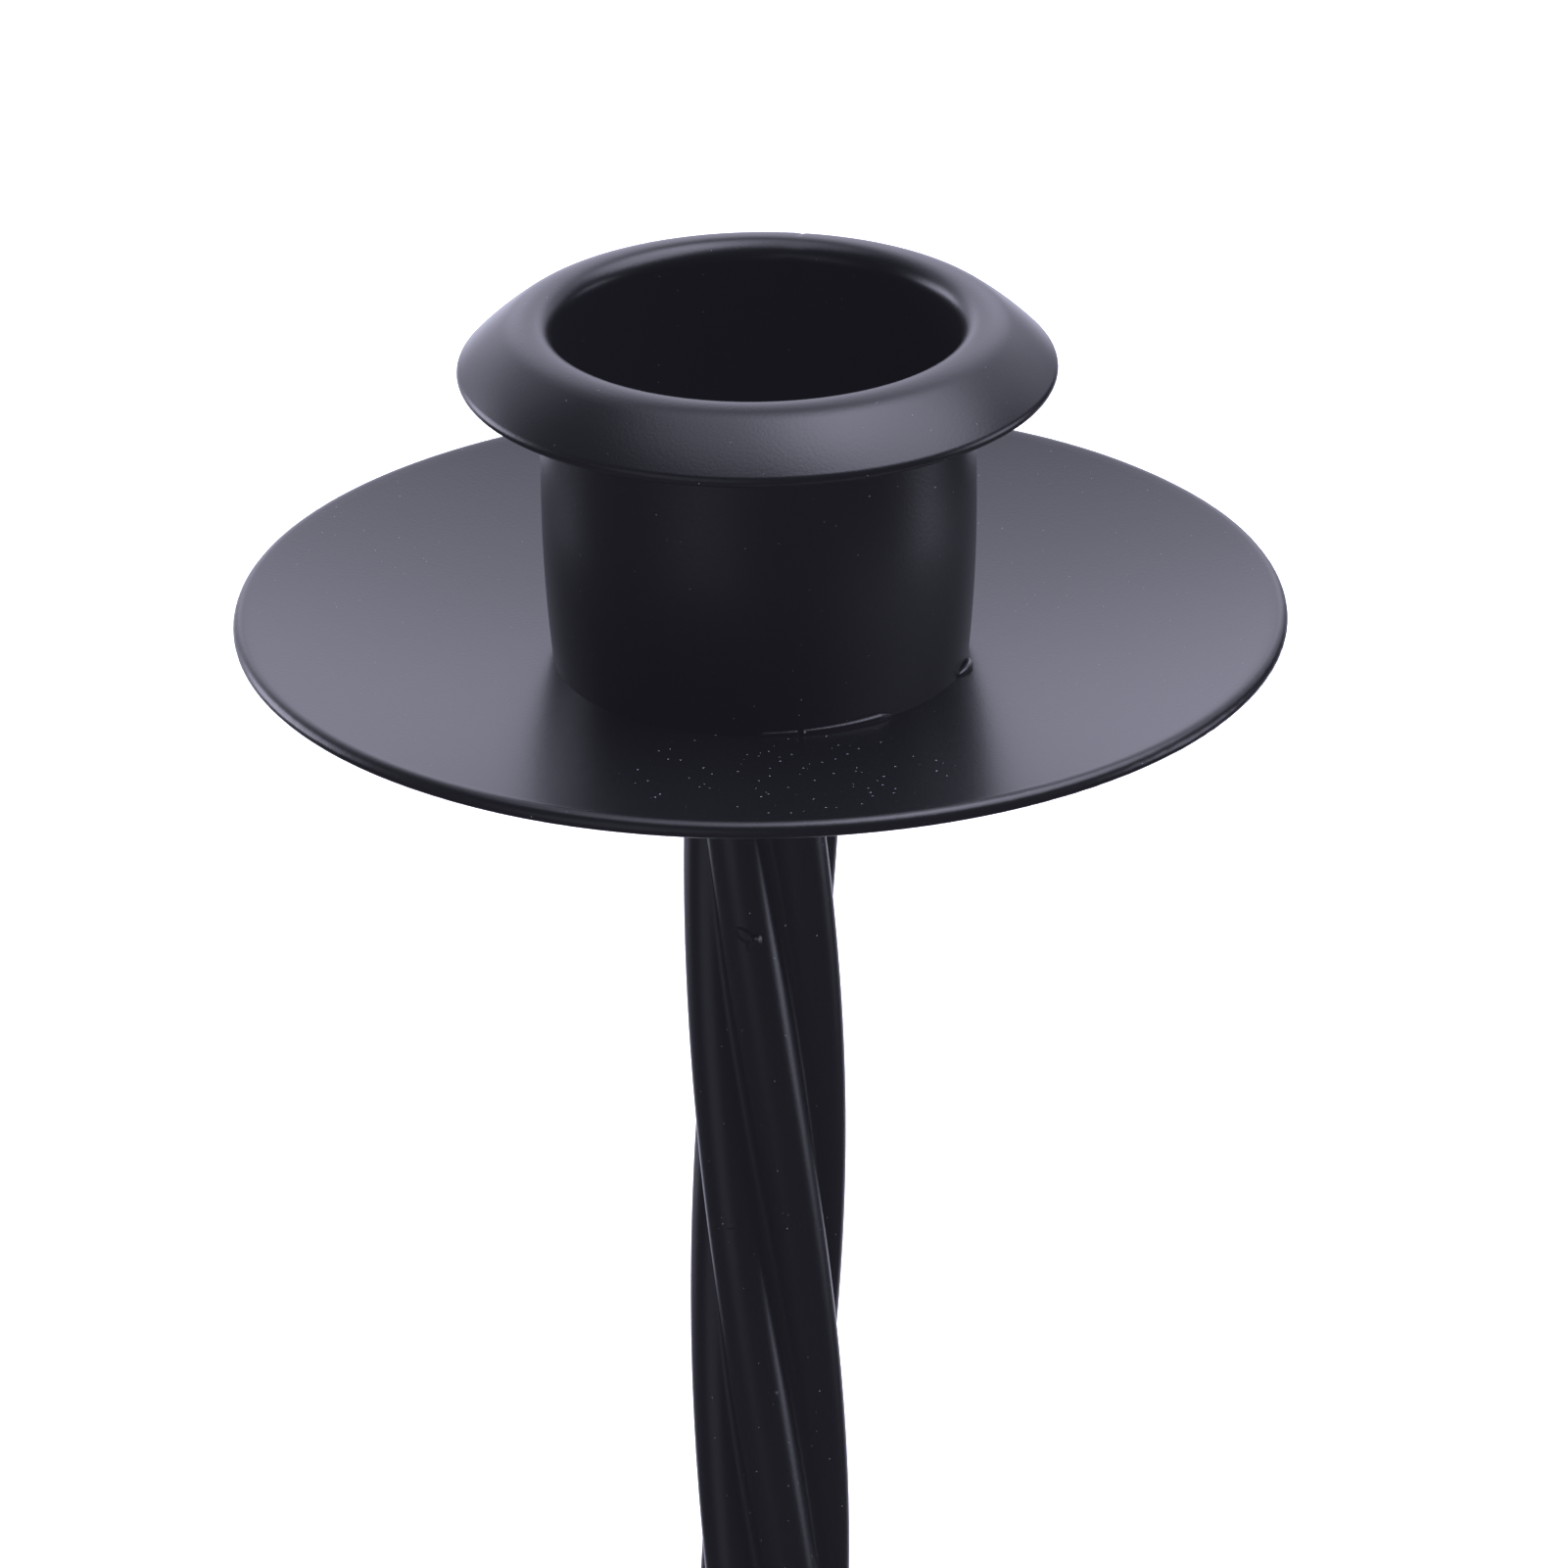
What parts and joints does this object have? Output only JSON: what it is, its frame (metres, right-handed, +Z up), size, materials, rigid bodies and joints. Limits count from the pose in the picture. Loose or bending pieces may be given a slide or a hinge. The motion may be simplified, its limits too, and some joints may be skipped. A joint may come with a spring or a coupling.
{
  "type": "spiral candle holder",
  "caption": "Slender candlestick with a flared candle tube and a dished drip plate on a twisted rod stem, standing on a round base.",
  "frame": {"origin": "on the table under the stem's axis, at the underside of the floor pads", "axes": "+Z up along the stem and out of the candle tube's mouth; -Y towards the camera of the picture, +X to its right"},
  "size_m": [0.1, 0.1, 0.25],
  "materials": {
    "black_coat": "satin black powder coat on mild steel",
    "pad_foam": "matt closed-cell foam"
  },
  "bodies": {
    "root": {"floor_pad_1": "pad_foam", "floor_pad_2": "pad_foam", "floor_pad_3": "pad_foam", "floor_pad_4": "pad_foam", "base_plate": "black_coat", "stem_rod_1": "black_coat", "stem_rod_2": "black_coat", "stem_rod_3": "black_coat", "stem_rod_4": "black_coat", "stem_rod_5": "black_coat", "stem_foot_weld": "black_coat", "stem_head_weld": "black_coat", "drip_plate": "black_coat", "candle_tube": "black_coat", "tube_tack_front": "black_coat", "tube_tack_side": "black_coat"}
  },
  "joints": []
}
